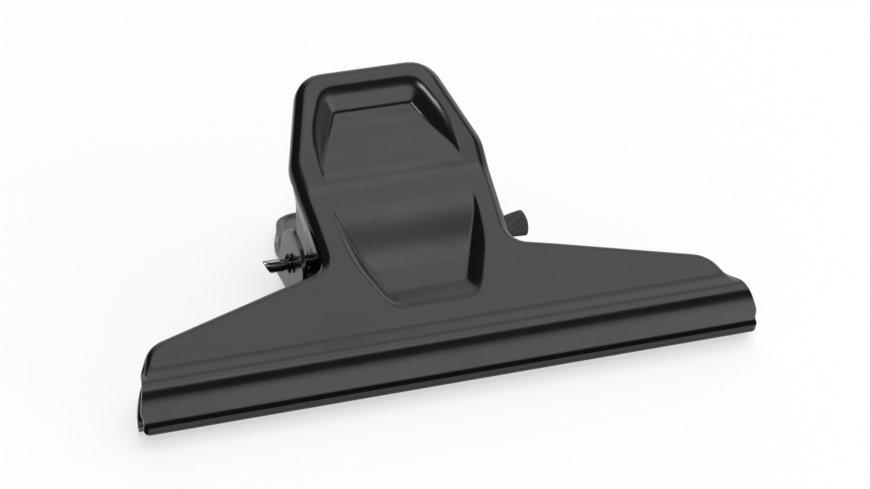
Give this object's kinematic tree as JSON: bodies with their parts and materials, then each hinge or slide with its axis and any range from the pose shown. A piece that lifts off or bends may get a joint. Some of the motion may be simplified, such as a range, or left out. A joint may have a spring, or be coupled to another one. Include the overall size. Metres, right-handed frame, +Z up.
{
  "type": "bulldog clip",
  "caption": "Wide spring clip for a stack of paper: pressed steel jaws with beaded lips and recessed handles, hinged on a staked pin over a double torsion spring.",
  "frame": {"origin": "centre of the bounding box's footprint, on the surface that the clip lies on", "axes": "+X along the jaw line to the right, +Y from the jaw towards the handles, +Z up; the clip lies on the bead and the handle tip of its rear jaw"},
  "size_m": [0.125, 0.0692, 0.0388],
  "materials": {
    "black_lacquer": "satin black lacquer on pressed steel sheet",
    "matt_black_wire": "matt, slightly grainy black lacquer on steel wire",
    "spring_steel": "bright drawn spring wire"
  },
  "bodies": {
    "rear": {"rear_jaw": "black_lacquer", "pivot_pin": "matt_black_wire", "torsion_spring": "spring_steel"},
    "front": {"front_jaw": "black_lacquer"}
  },
  "joints": [
    {"name": "jaw_hinge", "type": "hinge", "parent": "rear", "child": "front", "pos_m": [0, 0.0003, 0.01207], "axis": [-1, 0, 0], "range_deg": [0, 56], "stiffness_Nm_per_rad": 0.9, "springref_deg": -28.65, "deforming": ["torsion_spring"]}
  ]
}
